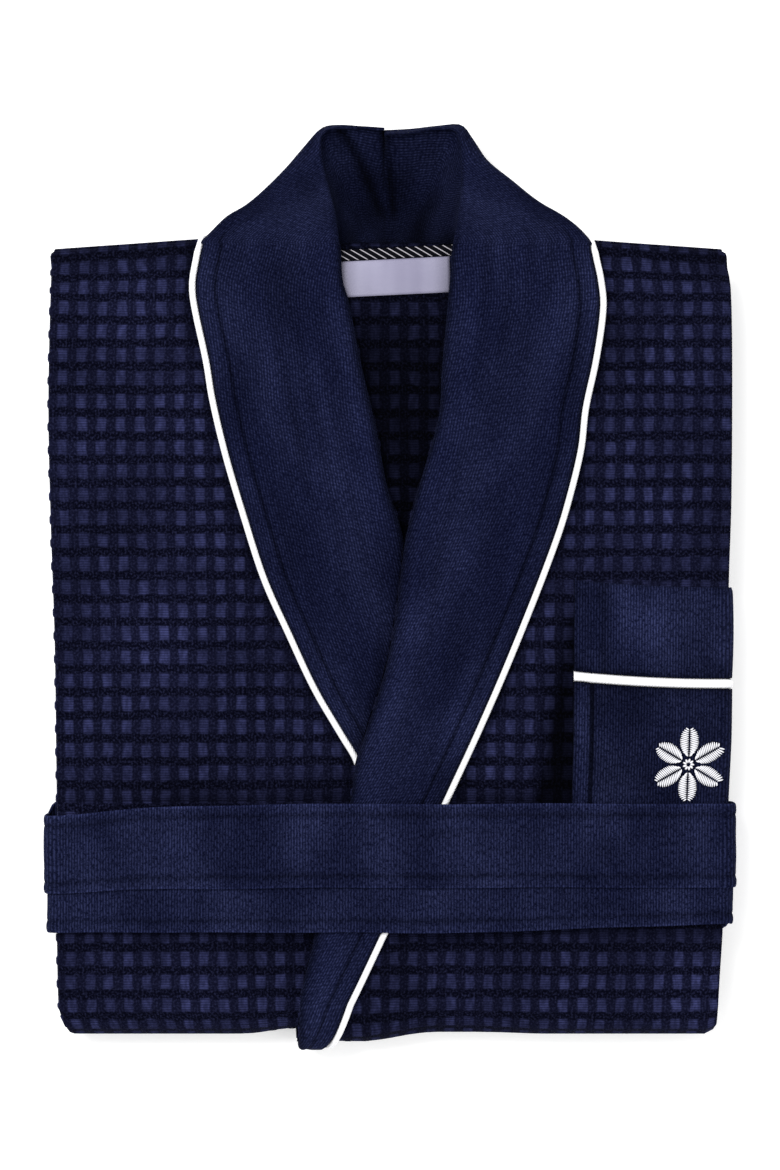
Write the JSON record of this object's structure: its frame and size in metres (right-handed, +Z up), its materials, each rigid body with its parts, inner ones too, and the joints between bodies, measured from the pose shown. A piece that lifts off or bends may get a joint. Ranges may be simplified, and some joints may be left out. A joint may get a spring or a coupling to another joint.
{
  "type": "bathrobe",
  "caption": "Shawl-collar bathrobe in waffle cloth with velour collar, pockets and belt and white piping, folded flat and held by its belt.",
  "frame": {"origin": "middle of the base of the folded robe, on the surface it lies on", "axes": "+X to the wearer's left side fold, +Y to the collar, +Z up out of the robe's front"},
  "size_m": [0.463, 0.6148, 0.0492],
  "materials": {
    "waffle_cloth": "matte waffle weave with velvety navy pile ridges round flat squares",
    "velour": "navy velour with a fine diagonal rib and a soft sheen",
    "lining": "matte navy cotton",
    "white_piping": "plain white corded piping",
    "satin_label": "blank silver satin",
    "striped_tape": "black twill tape with pale slanting stripes",
    "white_thread": "raised white embroidery thread"
  },
  "bodies": {
    "robe": {"back_panel": "waffle_cloth", "left_front_panel": "waffle_cloth", "right_front_panel": "waffle_cloth", "left_sleeve": "waffle_cloth", "right_sleeve": "waffle_cloth", "left_cuff": "velour", "right_cuff": "velour", "left_cuff_piping": "white_piping", "right_cuff_piping": "white_piping", "collar_left": "velour", "collar_right": "velour", "under_collar_left": "lining", "under_collar_right": "lining", "collar_piping_left": "white_piping", "collar_piping_right": "white_piping", "belt_loop_left": "velour", "belt_loop_right": "velour", "hanger_loop": "striped_tape", "neck_label": "satin_label", "chest_pocket": "velour", "chest_pocket_band": "velour", "chest_pocket_piping": "white_piping", "pocket_emblem": "white_thread", "left_hip_pocket": "velour", "left_hip_pocket_band": "velour", "left_hip_pocket_piping": "white_piping", "right_hip_pocket": "velour", "right_hip_pocket_band": "velour", "right_hip_pocket_piping": "white_piping"},
    "belt": {"belt": "velour"}
  },
  "joints": [
    {"name": "belt_slide", "type": "slide", "parent": "robe", "child": "belt", "axis": [0, -1, 0], "range_m": [0, 0.2]}
  ]
}
